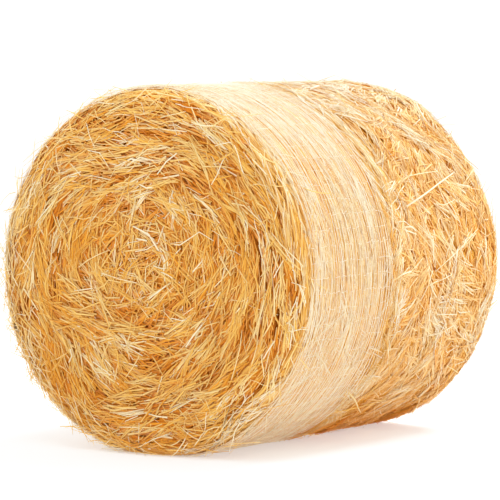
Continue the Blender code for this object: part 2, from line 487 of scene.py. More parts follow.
def seeds(rng, zone, layer):
    """Where each stalk lies: its point, its angle to the winding, its bow, its depth, and its tone."""
    outline, turn = scatter(rng, layer.edges or zone.edges, layer.tufts)
    point, normal = form_point(outline, turn)
    radial = np.hypot(point[:, 0] - AXIS[0], point[:, 2] - AXIS[2])
    slow = soft_noise(point, DRIFT_SIZE, zone.seed) / NOISE_SPREAD
    angle = SLOW_DRIFT * slow + TUFT_DRIFT * rng.normal(0, 1, layer.tufts)
    angle = angle * layer.unruly * np.interp(radial, *np.array(zone.strays).T)
    angle = angle * (1 + zone.matted * smooth((np.abs(turn) - MATTED_FROM) / MATTED_REACH))
    depth = spread(rng, layer.depth, layer.tufts)
    bow = layer.bow * rng.normal(0, 1, layer.tufts)
    tone = rng.normal(0, 1, layer.tufts)
    pick = np.repeat(np.arange(layer.tufts), layer.per_tuft)
    count = len(pick)
    winding = round_roll(turn)[pick]
    sideways = np.cross(normal[pick], winding)
    heading = np.radians(angle[pick])[:, None]
    lengthwise = winding * np.cos(heading) + sideways * np.sin(heading)
    crosswise = np.cross(normal[pick], lengthwise)
    long_way, short_way = layer.tuft_size
    across = rng.normal(0, 1, count)
    point = point[pick] + lengthwise * rng.normal(0, long_way, count)[:, None]
    point = point + crosswise * (short_way * across)[:, None]
    angle = angle[pick] + rng.normal(0, layer.fan, count)
    bow = bow[pick] + STALK_BOW * layer.bow * rng.normal(0, 1, count)
    mound = layer.mound * np.minimum(across**2, MOST_MOUND)
    depth = depth[pick] - mound + rng.normal(0, layer.jitter, count)
    bright = rng.uniform(0, 1, count) < layer.bright_share
    tone = tone[pick] + STALK_TONES * rng.normal(0, 1, count)
    tone = layer.tone + layer.tone_spread * tone + BRIGHT_BOOST * bright
    return point, angle, bow, depth, tone


def lay_stalks(rng, zone, layer, relief):
    """One layer's stalks, as two batches: short ones with two rings and long ones with three."""
    point, angle, bow, depth, tone = seeds(rng, zone, layer)
    foot, normal, outline, turn = on_form(point)
    angle = np.radians(angle)
    winding = round_roll(turn)
    heading = winding * np.cos(angle)[:, None] + np.cross(normal, winding) * np.sin(angle)[:, None]
    is_long = rng.uniform(0, 1, len(angle)) < layer.long_share
    length = spread(rng, layer.length, len(angle)) * np.where(is_long, LONGER, 1.0)
    rows = layer_noise(outline, turn, LAYER_SEED) * off_band(outline, turn)
    creviced = crevices(outline, turn)
    broad = soft_noise(clump_spots(outline, turn), BROAD_SIZE, 79)
    # The tone takes painted shade in sunk rows, in crevices and at the foot, and painted light higher up and
    # on the crown
    tone = tone + ROW_PAINTED_SHADE * layer.tone_spread * rows + BROAD_TONES * broad
    tone = tone + HEIGHT_PAINTED_LIGHT * (foot[:, 2] - AXIS[2]) / ROLL_RADIUS - CREVICE_PAINTED_SHADE * creviced
    tone = tone + zone.streaked * streak_noise(outline, turn)
    tone = tone + CROWN_PAINTED_LIGHT * smooth((normal[:, 2] - CROWN_FROM) / (1 - CROWN_FROM))
    tone = tone - CONTACT_PAINTED_SHADE * smooth((-normal[:, 2] - CONTACT_FROM) / (1 - CONTACT_FROM))
    depth = depth + layer.layering * groove_scale(outline) * rows - layer.hollow * hollows(outline, turn)
    depth = depth - CREVICE_DEPTH * creviced
    over = crevices_under(foot, heading, length)
    missing = np.maximum(layer.thinning * hollows(outline, turn), CREVICE_THINNING * over)
    kept = rng.uniform(0, 1, len(angle)) > missing
    batches = []
    for rings, chosen in ((2, kept & ~is_long), (3, kept & is_long)):
        parts = (foot[chosen], heading[chosen], length[chosen], bow[chosen], depth[chosen], tone[chosen])
        batches.append(stalk_rings(rng, zone, layer, relief, rings, *parts))
    return batches


AGE_REACH = 1.6
AGE_START = 0.35
AGE_SCATTER = 0.25
GREYER_TURN = math.radians(82)
GREYER_REACH = math.radians(15)
WIDTH_SHAPE = (1.4, 2.6)
RING_WIDTHS = (0.65, 1.0)
ROLL_SCATTER = 0.12


def stalk_rings(rng, zone, layer, relief, rings, start, heading, length, bow, depth, tone):
    """Ring centres, frames, widths and colours of stalks that lie on the form."""
    count = len(start)
    share = np.linspace(0, 1, rings)
    _, normal, outline, turn = on_form(start)
    sideways = np.cross(heading, normal)
    reach = (share[None] - 0.5) * length[:, None]
    swing = 4 * share * (1 - share) * (bow * length)[:, None]
    line = start[:, None] + heading[:, None] * reach[..., None] + sideways[:, None] * swing[..., None]
    scattered = layer_noise(outline, turn, zone.seed + 2) + rng.normal(0, AGE_SCATTER, count)
    grey = AGE_REACH * (scattered - AGE_START)
    # The stalks are mixed toward grey around the widest height, by a share set for each zone
    grey = grey + zone.greyer_at_widest * np.exp(-(((np.abs(turn) - GREYER_TURN) / GREYER_REACH) ** 2))
    foot, normal, outline, turn = on_form(line)
    ground = relief(outline, turn)
    ground = 0.5 * ground + 0.5 * ground.mean(1, keepdims=True)
    height = ground + depth[:, None]
    for end in (0, -1):
        raised = rng.uniform(0, 1, count) < layer.raised_ends
        lift = np.where(raised, spread(rng, layer.end_lift, count), -spread(rng, layer.end_tuck, count))
        height[:, end] += lift
    centre = foot + normal * height[..., None]
    width = layer.width[0] + (layer.width[1] - layer.width[0]) * rng.beta(*WIDTH_SHAPE, count)
    return {
        "centre": centre,
        "normal": normal,
        "width": width[:, None] * rng.uniform(*RING_WIDTHS, (count, rings)),
        "thickness": (width * spread(rng, layer.thickness, count))[:, None] * np.ones(rings),
        "roll": rng.normal(0, ROLL_SCATTER, count),
        "tone": tone,
        "height": height,
        "foot": foot,
        "random": rng.uniform(0, 1, count),
        "age": np.clip(grey, 0, 1),
    }


SHADE_CELL = 0.011
SHADE_STEPS = 7
SHADE_BLUR = 2


def add_painted_shade(zone, batches):
    """Each ring's painted shade, from how far it lies under the stalks around it: 0 is deepest and darkest, 1
    is on top.
    """
    low = AXIS - ROLL_HALF_WIDTH - 0.1
    cells = int(2 * (ROLL_HALF_WIDTH + 0.1) / SHADE_CELL) + 1
    sums = np.zeros((3, cells**3))
    steps = np.linspace(0, 1, SHADE_STEPS)

    def cell_of(points):
        spots = ((points - low) / SHADE_CELL).astype(int)
        return np.ravel_multi_index(np.moveaxis(spots, -1, 0), (cells,) * 3)

    for batch in batches:
        rings = np.linspace(0, 1, batch["height"].shape[1])
        lower = np.minimum(np.searchsorted(rings, steps, side="right") - 1, len(rings) - 2)
        share = (steps - rings[lower]) / (rings[lower + 1] - rings[lower])
        height = batch["height"][:, lower] * (1 - share) + batch["height"][:, lower + 1] * share
        foot = batch["foot"][:, lower] * (1 - share)[:, None] + batch["foot"][:, lower + 1] * share[:, None]
        spots = cell_of(foot).ravel()
        for total, values in zip(sums, (np.ones(height.size), height.ravel(), height.ravel() ** 2)):
            total += np.bincount(spots, values, cells**3)
    sums = sums.reshape(3, cells, cells, cells)
    for axis in (1, 2, 3):
        for _ in range(SHADE_BLUR):
            sums = (np.roll(sums, 1, axis) + 2 * sums + np.roll(sums, -1, axis)) / 4
    count = np.maximum(sums[0], 1e-9)
    mean = sums[1] / count
    cover = (mean + np.sqrt(np.maximum(sums[2] / count - mean**2, 0))).ravel()
    deepest, highest = zone.shades
    for batch in batches:
        buried = cover[cell_of(batch["foot"])] - batch["height"]
        batch["painted_shade"] = 1 - smooth((buried - highest) / (deepest - highest))


# A stalk's three corners, across and up, and how they settle where they meet the floor
CORNERS = ((-1.0, -0.5), (1.0, -0.5), (0.0, 0.8))
FLAT_RISE = 0.0005
FLOOR_LAYERS = 0.004


def stalk_corners(batch):
    """The three corners of each ring, (stalks, rings, 3, xyz)."""
    centre = batch["centre"]
    tangent = np.empty_like(centre)
    tangent[:, 0] = centre[:, 1] - centre[:, 0]
    tangent[:, -1] = centre[:, -1] - centre[:, -2]
    if centre.shape[1] > 2:
        tangent[:, 1:-1] = centre[:, 2:] - centre[:, :-2]
    tangent = unit(tangent)
    across = unit(np.cross(tangent, batch["normal"]))
    up = np.cross(across, tangent)
    roll = batch["roll"][:, None, None]
    turned = across * np.cos(roll) + up * np.sin(roll)
    lifted = up * np.cos(roll) - across * np.sin(roll)
    half = batch["width"][..., None] / 2
    thick = batch["thickness"][..., None]
    corners = [centre + turned * half * a + lifted * thick * b for a, b in CORNERS]
    corners = np.stack(corners, 2)
    floor = FLOOR_CLEARANCE + FLOOR_LAYERS * batch["random"][:, None, None]
    corners[..., 2] = np.maximum(corners[..., 2], floor + np.array([0, 0, FLAT_RISE]))
    return corners


def stalk_faces(rings):
    """Triangles of one stalk, as indices into its ring corners, and each corner's place on its map."""
    faces = [(0, 1, 2)]
    places = [((0.0, 0.0), (0.0, 0.33), (0.0, 0.67))]
    for k, c in itertools.product(range(rings - 1), range(3)):
        d = (c + 1) % 3
        low, high = c / 3, (c + 1) / 3
        start, end = k / (rings - 1), (k + 1) / (rings - 1)
        a, b = 3 * k + c, 3 * k + 3 + c
        e, f = 3 * k + 3 + d, 3 * k + d
        faces += [(a, b, e), (a, e, f)]
        places += [((start, low), (end, low), (end, high)), ((start, low), (end, high), (start, high))]
    last = 3 * rings - 3
    faces.append((last, last + 2, last + 1))
    places.append(((1.0, 0.0), (1.0, 0.67), (1.0, 0.33)))
    return np.array(faces), np.array(places)


def build_mesh(name, points, faces, material, attributes=(), maps=()):
    """A mesh from arrays: points, triangles, and vertex colours and per-corner maps by name."""
    mesh = bpy.data.meshes.new(name)
    mesh.vertices.add(len(points))
    mesh.vertices.foreach_set("co", points.astype(np.float32).ravel())
    mesh.loops.add(faces.size)
    mesh.loops.foreach_set("vertex_index", faces.astype(np.int32).ravel())
    mesh.polygons.add(len(faces))
    mesh.polygons.foreach_set("loop_start", np.arange(0, faces.size, 3, dtype=np.int32))
    mesh.update(calc_edges=True)
    for label, values in attributes:
        attribute = mesh.attributes.new(label, "FLOAT_COLOR", "POINT")
        attribute.data.foreach_set("color", values.astype(np.float32).ravel())
    for label, values in maps:
        mesh.uv_layers.new(name=label).data.foreach_set("uv", values.astype(np.float32).ravel())
    mesh.materials.append(material)
    obj = bpy.data.objects.new(name, mesh)
    bpy.context.scene.collection.objects.link(obj)
    return obj


CELL_MARGIN = 0.08
MAP_WIDTH = 2.2
MAP_SHIFTS = (7, 13)


def stalk_piece(name, batches, material):
    """One joined piece of closed stalks. Each stalk has a cell of its own on the map OFBake."""
    total = sum(len(batch["centre"]) for batch in batches)
    cells = math.ceil(math.sqrt(total))
    points, faces, colours, bake, lie = [], [], [], [], []
    point_count = 0
    stalk_count = 0
    for batch in batches:
        corners = stalk_corners(batch)
        count, rings = corners.shape[:2]
        one, places = stalk_faces(rings)
        offsets = point_count + np.arange(count) * rings * 3
        points.append(corners.reshape(-1, 3))
        faces.append((offsets[:, None, None] + one[None]).reshape(-1, 3))
        values = [batch["tone"][:, None], batch["painted_shade"], batch["random"][:, None], batch["age"][:, None]]
        columns = [np.broadcast_to(v[..., None], (count, rings, 3)) for v in values]
        colours.append(np.stack(columns, -1).reshape(-1, 4))
        number = stalk_count + np.arange(count)
        cell = np.stack([number % cells, number // cells], -1)[:, None, None]
        bake.append(((cell + CELL_MARGIN + (1 - 2 * CELL_MARGIN) * places[None]) / cells).reshape(-1, 2))
        span = np.linalg.norm(np.diff(batch["centre"], axis=1), axis=-1).sum(1)
        size = np.stack([span, MAP_WIDTH * batch["width"][:, 0]], -1)[:, None, None]
        along, across = (batch["random"] * shift for shift in MAP_SHIFTS)
        start = np.stack([along, across % 1], -1)[:, None, None]
        lie.append((start + places[None] * size).reshape(-1, 2))
        point_count += count * rings * 3
        stalk_count += count
    return build_mesh(
        name,
        np.concatenate(points),
        np.concatenate(faces),
        material,
        attributes=[("stalk", np.concatenate(colours))],
        maps=[("OFBake", np.concatenate(bake)), ("lie", np.concatenate(lie))],
    )


class Looks:
    """The nodes of a material or of the surround, with short ways to add the kinds that are used here.

    A value for a socket is a number, a colour, or another node's output, which is linked to it.
    """

    def __init__(self, owner):
        owner.use_nodes = True
        self.owner = owner
        self.tree = owner.node_tree

    def fill(self, node, values):
        for socket, value in values:
            if isinstance(value, bpy.types.NodeSocket):
                self.tree.links.new(value, node.inputs[socket])
            else:
                node.inputs[socket].default_value = value

    def add(self, kind, values=(), **settings):
        node = self.tree.nodes.new(kind)
        for key, value in settings.items():
            setattr(node, key, value)
        self.fill(node, values)
        return node

    def finish(self, **values):
        """Fills the shader's sockets, named with _ for a space, and gives the material."""
        shader = self.tree.nodes["Principled BSDF"]
        self.fill(shader, ((name.replace("_", " "), value) for name, value in values.items()))
        return self.owner

    def math(self, operation, *inputs):
        return self.add("ShaderNodeMath", enumerate(inputs), operation=operation).outputs[0]

    def mix(self, factor, first, second):
        values = ((0, factor), (6, first), (7, second))
        return self.add("ShaderNodeMix", values, data_type="RGBA").outputs[2]

    def ramp(self, factor, stops):
        ramp = self.add("ShaderNodeValToRGB", (("Fac", factor),))
        elements = ramp.color_ramp.elements
        while len(elements) < len(stops):
            elements.new(0.5)
        for element, (place, colour) in zip(elements, stops):
            element.position = place
            element.color = colour
        return ramp.outputs["Color"]

    def noise(self, vector, scale=1.0, detail=2.0):
        values = (("Vector", vector), ("Scale", scale), ("Detail", detail))
        return self.add("ShaderNodeTexNoise", values).outputs["Fac"]

    def stretched(self, vector, stretch):
        values = ((0, vector), (1, stretch))
        return self.add("ShaderNodeVectorMath", values, operation="MULTIPLY").outputs[0]

    def lie(self):
        return self.add("ShaderNodeUVMap", uv_map="lie").outputs[0]

    def attribute(self, name):
        """The four shares that a vertex colour holds."""
        node = self.add("ShaderNodeAttribute", attribute_name=name)
        shares = self.add("ShaderNodeSeparateColor", ((0, node.outputs["Color"]),))
        return (*shares.outputs, node.outputs["Alpha"])

    def bump(self, height, strength, distance):
        values = (("Height", height), ("Strength", strength), ("Distance", distance))
        return self.add("ShaderNodeBump", values).outputs[0]


JOINT_EVERY = 0.16
JOINT_HALF = 0.0012
JOINT_SHARE = 0.55
FIBRE_STRETCH = (30.0, 900.0, 1.0)
FIBRE_TONES = 0.16
FIBRE_BUMP = (0.2, 0.0006)
GREYEST = 0.5
ROUGHNESS = 0.55
ROUGHNESS_SPREAD = 0.24
SHEEN_TINT = (1.0, 0.84, 0.52, 1.0)


def stalk_material(name, stops, painted_shade_colour):
    """Dry stalk: a tone of its own, with painted shade deep down, a brown joint here and there and fine
    fibres.
    """
    looks = Looks(bpy.data.materials.new(name))
    tone, painted_shade, chance, age = looks.attribute("stalk")
    lie = looks.lie()
    fibres = looks.noise(looks.stretched(lie, FIBRE_STRETCH))
    wiggle = looks.math("MULTIPLY_ADD", fibres, FIBRE_TONES, -FIBRE_TONES / 2)
    own = looks.ramp(looks.math("ADD", tone, wiggle), stops)
    aged = looks.mix(looks.math("MULTIPLY", age, GREYEST), own, GREY_GREEN)
    along = looks.add("ShaderNodeSeparateXYZ", ((0, lie),)).outputs[0]
    from_joint = looks.math("PINGPONG", along, JOINT_EVERY / 2)
    jointed = looks.math("MULTIPLY", looks.math("LESS_THAN", from_joint, JOINT_HALF), JOINT_SHARE)
    return looks.finish(
        Base_Color=looks.mix(jointed, looks.mix(painted_shade, painted_shade_colour, aged), JOINT_BROWN),
        Roughness=looks.math("MULTIPLY_ADD", chance, ROUGHNESS_SPREAD, ROUGHNESS),
        Normal=looks.bump(fibres, *FIBRE_BUMP),
        Specular_IOR_Level=0.08,
        Sheen_Weight=0.20,
        Sheen_Roughness=0.5,
        Sheen_Tint=SHEEN_TINT,
    )


# Streaks of the body: how far each kind leans from the winding, in degrees, and how many to a metre
STREAK_LEANS = (-14, 24)
STREAK_STRETCHES = ((330.0, 34.0, 1.0), (300.0, 40.0, 1.0))
STREAK_DETAIL = 3.0
STREAK_BLOTCHES = 34.0
BODY_BUMP = (0.9, 0.004)


def body_material():
    """The pressed straw under the stalks: short streaks two ways, with painted shade deep down and in its
    crevices.
    """
    looks = Looks(bpy.data.materials.new("pressed_straw"))
    lie = looks.lie()
    streaks = []
    for lean, stretch in zip(STREAK_LEANS, STREAK_STRETCHES):
        values = (("Vector", lie), ("Rotation", (0.0, 0.0, math.radians(lean))))
        turned = looks.add("ShaderNodeMapping", values).outputs[0]
        streaks.append(looks.noise(looks.stretched(turned, stretch), detail=STREAK_DETAIL))
    first, second = streaks
    chosen = looks.math("GREATER_THAN", looks.noise(lie, STREAK_BLOTCHES), 0.5)
    grain = looks.math("MULTIPLY_ADD", looks.math("SUBTRACT", second, first), chosen, first)
    painted_shade, pale, painted_shadow_mask, _ = looks.attribute("place")
    # Painted shade: where the body lies deep it takes this brown to burnt gold ramp
    buried = looks.ramp(grain, ((0.36, PAINTED_SHADE_BROWN), (0.64, BURNT_GOLD)))
    golden = looks.ramp(grain, ((0.34, BURNT_GOLD), (0.52, TAN), (0.68, GOLD)))
    bleached = looks.ramp(grain, ((0.34, BAND_AMBER), (0.5, BAND_GOLD), (0.68, BAND_PEACH)))
    covered = looks.mix(painted_shade, buried, looks.mix(pale, golden, bleached))
    return looks.finish(
        # Crevices and hollows are painted dark brown: painted shadow
        Base_Color=looks.mix(painted_shadow_mask, covered, PAINTED_SHADOW_BROWN),
        Normal=looks.bump(grain, *BODY_BUMP),
        Roughness=0.9,
        Specular_IOR_Level=0.1,
    )


BODY_ROWS = 180
BODY_TURNS = 230
BODY_DEPTH = 0.0105
BAND_BODY_DEPTH = 0.0050
OPEN_RAISE = 0.0015
OPEN_PALENESS = 0.5
OPEN_END = FAR_EDGE + 0.04
BODY_ROUGHNESS = 0.0015
BODY_LUMP = 0.03
BODY_CLEARANCE = 0.006
SHADE_START = 1.6
MIDDLE_SHADE = 0.6
GROUND_AROUND = ((0.0, 0.0), (0.018, 0.0), (-0.018, 0.0), (0.0, 0.035), (0.0, -0.035))
MIDDLE_RADIUS = 0.4


def make_body(relief):
    """The pressed straw under the stalks: one closed skin, rough with clumps."""
    outline = np.linspace(0, OUTLINE, BODY_ROWS + 2)[1:-1]
    turn = turns_round(BODY_TURNS)
    rows, turns = np.meshgrid(outline, turn, indexing="ij")
    points, normals = form_point(rows, turns)
    band = in_band(rows, turns)
    layers = off_band(rows, turns) * groove_scale(rows) * layer_noise(rows, turns, LAYER_SEED)
    open_side = smooth((rows - far_border(turns)) / BORDER_BLEND + 0.5) * (rows < OPEN_END)
    even = BODY_DEPTH - OPEN_RAISE * open_side - BODY_ROUGHNESS * soft_noise(points, BODY_LUMP, 72)
    gaps = np.maximum(hollows(rows, turns), crevices(rows, turns))
    sunk = even - LAYERING * layers + BODY_HOLLOW * gaps
    sunk = sunk * (1 - band) + BAND_BODY_DEPTH * band
    ground = [relief(np.clip(rows + a, 0, OUTLINE), turns + b) for a, b in GROUND_AROUND]
    height = np.minimum.reduce(ground) - sunk
    skin = (points + normals * height[..., None]).reshape(-1, 3)
    ends = []
    for side, place in ((-1, 0.0), (1, OUTLINE)):
        middle, _ = form_point(np.array(place), np.array(0.0))
        ends.append(middle - np.array([0, side * BODY_DEPTH, 0]))
    points = np.concatenate([skin, np.array(ends)])
    points[:, 2] = np.maximum(points[:, 2], BODY_CLEARANCE)
    near, far = len(skin), len(skin) + 1
    first = np.arange(BODY_TURNS)
    second = (first + 1) % BODY_TURNS
    ring = np.stack([turn, turn + math.tau / BODY_TURNS])
    faces, places = [], []

    def add_faces(corners, rows_at, sides):
        faces.append(np.stack(corners, -1))
        across = np.broadcast_to(np.array(rows_at)[None], (BODY_TURNS, 3))
        places.append(np.stack([across, MIDDLE_RADIUS * ring[list(sides)].T], -1))

    for row in range(BODY_ROWS - 1):
        a, b = row * BODY_TURNS, (row + 1) * BODY_TURNS
        here, there = outline[row], outline[row + 1]
        add_faces((a + first, b + first, b + second), (here, there, there), (0, 0, 1))
        add_faces((a + first, b + second, a + second), (here, there, here), (0, 1, 1))
    last = (BODY_ROWS - 1) * BODY_TURNS
    low, high = outline[0], outline[-1]
    add_faces((np.full(BODY_TURNS, near), first, second), (0.0, low, low), (0, 0, 1))
    add_faces((np.full(BODY_TURNS, far), last + second, last + first), (OUTLINE, high, high), (0, 1, 0))
    # Painted shade: the body is painted darker the deeper it is sunk
    painted_shade = np.clip(SHADE_START - sunk / BODY_DEPTH, 0, 1)
    # The body is painted paler under the band and on the open side than on the faces, whose darker golden is
    # partly painted shade
    pale = np.clip(band + OPEN_PALENESS * open_side, 0, 1)
    # Painted shadow: the dark brown share in hollows off the band and in crevices
    painted_shadow = np.maximum(GAP_PAINTED_SHADE * hollows(rows, turns) * (1 - band), crevices(rows, turns))
    values = np.stack([painted_shade, pale, painted_shadow, np.ones_like(painted_shadow)], -1).reshape(-1, 4)
    values = np.concatenate([values, np.tile([MIDDLE_SHADE, 0.0, 0.0, 1.0], (2, 1))])
    attributes, maps = [("place", values)], [("lie", np.concatenate(places))]
    body = build_mesh("straw_body", points, np.concatenate(faces), body_material(), attributes, maps)
    body.data.shade_smooth()
    return body


# The faces' palette is darker and more golden than the open side's and the band's: partly bleached outer
# straw, partly painted shade on the faces
FACE_STOPS = ((0.0, DEEP_GOLD), (0.25, TAN), (0.55, GOLD), (0.82, STRAW), (1.0, CREAM))
OPEN_STOPS = ((0.0, BURNT_GOLD), (0.15, WARM_GOLD), (0.5, PEACH), (0.85, CREAM), (1.0, PALE_CREAM))
BAND_STOPS = ((0.0, BAND_AMBER), (0.1, BAND_GOLD), (0.25, BAND_PEACH), (0.5, BAND_CREAM), (1.0, BAND_WHITE))

# Each zone's first, deepest layer has a lower tone than the tufts over it: painted shade deep down
FACE_LAYERS = (
    Layer(
        620, 6, (0.06, 0.13), (-0.009, -0.006), (0.004, 0.0095), tone=0.25,
        unruly=0.8, tuft_size=(0.024, 0.009), raised_ends=0, mound=0.001, bright_share=0, hollow=0.009,
        thinning=0.4,
    ),
    Layer(
        950, 7, (0.045, 0.11), (-0.006, -0.001), (0.0027, 0.0078),
        tuft_size=(0.02, 0.0065), mound=0.0022,
    ),
    Layer(
        330, 7, (0.04, 0.1), (-0.002, 0.002), (0.0026, 0.0076), tone=0.53,
        tuft_size=(0.018, 0.005), mound=0.0022,
    ),
    Layer(
        2300, 1, (0.015, 0.075), (-0.002, 0.002), (0.002, 0.0062),
        tone=0.56, unruly=1.9, raised_ends=0.25, bright_share=0.13, bow=0.13,
    ),
)
OPEN_TUFTS = Layer(
    760, 7, (0.05, 0.13), (-0.0035, -0.001), (0.0024, 0.007), tone=0.5,
    tone_spread=0.13, bright_share=0.05, tuft_size=(0.024, 0.007), mound=0.0006, raised_ends=0.04,
    end_tuck=(0.0005, 0.002), layering=0.0025, hollow=0.004, thinning=0.6,
)
OPEN_LAYERS = (
    Layer(
        470, 6, (0.07, 0.15), (-0.0065, -0.0045), (0.0032, 0.0078), tone=0.3,
        unruly=0.8, tuft_size=(0.028, 0.01), raised_ends=0, mound=0.001, bright_share=0, layering=0.0025,
        hollow=0.007, thinning=0.3,
    ),
    OPEN_TUFTS,
    replace(
        OPEN_TUFTS, tufts=240, length=(0.045, 0.12), depth=(-0.0015, 0.0005), width=(0.0022, 0.0062),
        tone=0.55, unruly=1.2, tuft_size=(0.02, 0.006), raised_ends=0.06,
    ),
    Layer(
        1900, 1, (0.015, 0.085), (-0.002, 0.001), (0.002, 0.0062),
        tone=0.53, unruly=1.9, raised_ends=0.2, bright_share=0.13, bow=0.13, layering=0.0025,
    ),
)
BORDER_LAYER = Layer(
    260, 6, (0.035, 0.1), (-0.0005, 0.0015), (0.002, 0.006), tone=0.58,
    tuft_size=(0.016, 0.006), mound=0.0006, unruly=1.3, layering=0.0, hollow=0.002, thinning=0.4,
    raised_ends=0.15, edges=(inside_far_border, past_far_border),
)
BAND_TUFTS = Layer(
    1470, 7, (0.05, 0.13), (-0.001, 0.0003), (0.0028, 0.007), fan=3,
    tuft_size=(0.035, 0.007), mound=0.0002, jitter=0.0003, raised_ends=0, end_tuck=(0.0003, 0.0015),
    thickness=(0.03, 0.06), bow=0.02, tone=0.46, tone_spread=0.21, layering=0.0004, hollow=0.0014,
    thinning=0.55,
)
BAND_FLECKS = Layer(
    2300, 1, (0.015, 0.05), (0.0001, 0.0008), (0.0016, 0.004),
    raised_ends=0, end_tuck=(0.0002, 0.001), thickness=(0.03, 0.06), bow=0.05, tone=0.05, unruly=1.5,
    tone_spread=0.15, bright_share=0, layering=0.0004, hollow=0.0008, thinning=0,
)
BAND_LAYERS = (
    replace(
        BAND_TUFTS, tufts=380, per_tuft=8, length=(0.08, 0.16), depth=(-0.003, -0.0022),
        width=(0.003, 0.0064), tuft_size=(0.05, 0.012), mound=0, jitter=0.0002, end_tuck=(0.0, 0.001),
        tone=0.2, tone_spread=0.12, hollow=0.0008, thinning=0.3, bright_share=0,
    ),
    BAND_TUFTS,
    BAND_FLECKS,
    replace(
        BAND_FLECKS, tufts=1500, depth=(0.0004, 0.0012), width=(0.0014, 0.0036), raised_ends=0.06,
        end_lift=(0.001, 0.006), bow=0.06, tone=0.72, unruly=2.2, tone_spread=0.25,
    ),
    Layer(
        420, 5, (0.03, 0.08), (0.0006, 0.0026), (0.002, 0.0056),
        tuft_size=(0.016, 0.007), mound=0.0003, raised_ends=0.04, end_tuck=(0.0003, 0.0015), bow=0.05,
        tone=0.55, unruly=2.0, layering=0.0004, hollow=0.0008, thinning=0,
        edges=(NET_END - 0.030, NET_END + 0.055),
    ),
)

# Degrees that the stalks stray from the winding, at distances from the axis
FACE_STRAYS = ((0.0, 65), (0.12, 45), (0.24, 28), (0.36, 20), (0.52, 16))
OPEN_STRAYS = ((0.0, 36), (1.0, 36))
BAND_STRAYS = ((0.0, 10), (1.0, 10))
OPEN_MIDDLE = (NET_END + FAR_EDGE) / 2 + 0.05
NEAR_FACE = Zone("near_face", 101, (0.0, near_border), FACE_LAYERS, FACE_STRAYS)
FAR_FACE = Zone("far_face", 102, (FAR_EDGE + 0.02, OUTLINE), FACE_LAYERS, FACE_STRAYS)
BAND = Zone(
    "band", 103, (near_border, far_border), BAND_LAYERS, BAND_STRAYS,
    shades=(0.0026, 0.0), matted=2.2, greyer_at_widest=0.8, streaked=0.36,
)
OPEN_A = Zone("open_side_a", 104, (far_border, OPEN_MIDDLE), OPEN_LAYERS + (BORDER_LAYER,), OPEN_STRAYS)
OPEN_B = Zone("open_side_b", 105, (OPEN_MIDDLE, OPEN_END), OPEN_LAYERS, OPEN_STRAYS)

# Stalks placed one by one as the photograph shows them: width in millimetres, tone, and four points, each an
# outline distance, a turn in degrees and millimetres over the form
PLACED = (
    (5.6, 1.0, ((1.17, 70.5, 5), (1.28, 67.5, 16), (1.38, 64.5, 23), (1.49, 61.5, 27))),
    (3.0, 0.9, ((1.23, 61, 6), (1.30, 60.5, 11), (1.37, 60.2, 13), (1.43, 60, 11))),
    (3.2, 0.95, ((1.29, 91.5, 6), (1.38, 87.5, 12), (1.47, 83.5, 16), (1.56, 79.5, 15))),
    (2.6, 0.7, ((1.21, 74, 6), (1.25, 73, 12), (1.29, 72, 14), (1.32, 71, 11))),
    (3.0, 0.9, ((1.03, 93, 6), (1.06, 91.8, 11), (1.09, 90.5, 13), (1.12, 89, 12))),
    (3.2, 0.8, ((1.03, 140, 6), (1.01, 136, 12), (0.98, 132, 15), (0.95, 128, 16))),
    (4.6, 0.85, ((0.99, 130, 9), (1.07, 134, 12), (1.15, 139, 12), (1.22, 143, 9))),
    (3.0, 0.6, ((1.03, 140, 7), (1.12, 138.5, 13), (1.21, 137.5, 14), (1.29, 136.5, 10))),
    (4.8, 0.7, ((0.465, 74, 3), (0.495, 79, 13), (0.525, 84, 19), (0.553, 87.5, 20))),
    (4.2, 0.5, ((0.46, 75.5, 2), (0.49, 80.5, 10), (0.52, 85, 14), (0.545, 88.5, 14))),
    (3.8, 0.9, ((0.475, 73.5, 3), (0.505, 78.5, 12), (0.533, 82.5, 16), (0.556, 86, 16))),
    (3.2, 0.95, ((0.544, 91.5, 6), (0.55, 93.5, 11), (0.557, 96, 12), (0.563, 98, 11))),
    (3.6, 0.85, ((0.437, 134, 5), (0.42, 127, 11), (0.405, 120, 13), (0.388, 113.5, 11))),
    (3.2, 0.85, ((0.464, 124, 5), (0.46, 120.5, 9), (0.455, 117, 10), (0.45, 113.5, 9))),
    (3.8, 1.0, ((0.134, 47, 9), (0.162, 56, 11), (0.245, 57.5, 15), (0.278, 67.5, 13))),
    (3.2, 0.95, ((0.15, 26, 6), (0.13, 38, 10), (0.115, 49, 11), (0.105, 60, 9))),
    (3.4, 0.85, ((0.244, -87.5, 6), (0.21, -81, 10), (0.175, -73, 12), (0.143, -62, 9))),
    (4.4, 1.0, ((0.178, 86.5, 7), (0.19, 83.5, 9), (0.205, 80.5, 10), (0.22, 77.5, 9))),
    (4.2, 0.95, ((0.25, -13, 6), (0.25, -8, 8), (0.253, -2, 8), (0.258, 3, 6))),
    (3.2, 0.8, ((0.548, -64, 2), (0.56, -61.5, 14), (0.57, -59.5, 25), (0.575, -58, 32))),
    (3.2, 0.8, ((0.552, -65, 4), (0.565, -66.5, 18), (0.575, -69, 29), (0.57, -71, 34))),
    (2.8, 0.9, ((0.60, 14, 2), (0.64, 15, 12), (0.69, 15.5, 18), (0.75, 16, 12))),
    (2.8, 0.85, ((1.60, 119, 2), (1.625, 121, 14), (1.64, 122.5, 24), (1.655, 124, 31))),
    (3.0, 0.85, ((1.56, 126, 2), (1.60, 127, 12), (1.63, 128, 22), (1.66, 129, 31))),
    (3.0, 0.85, ((1.57, 132, 2), (1.59, 134, 12), (1.60, 136.5, 20), (1.61, 139, 26))),
    (2.8, 0.85, ((1.57, 141, 2), (1.58, 143, 10), (1.59, 145.5, 16), (1.60, 148, 20))),
)

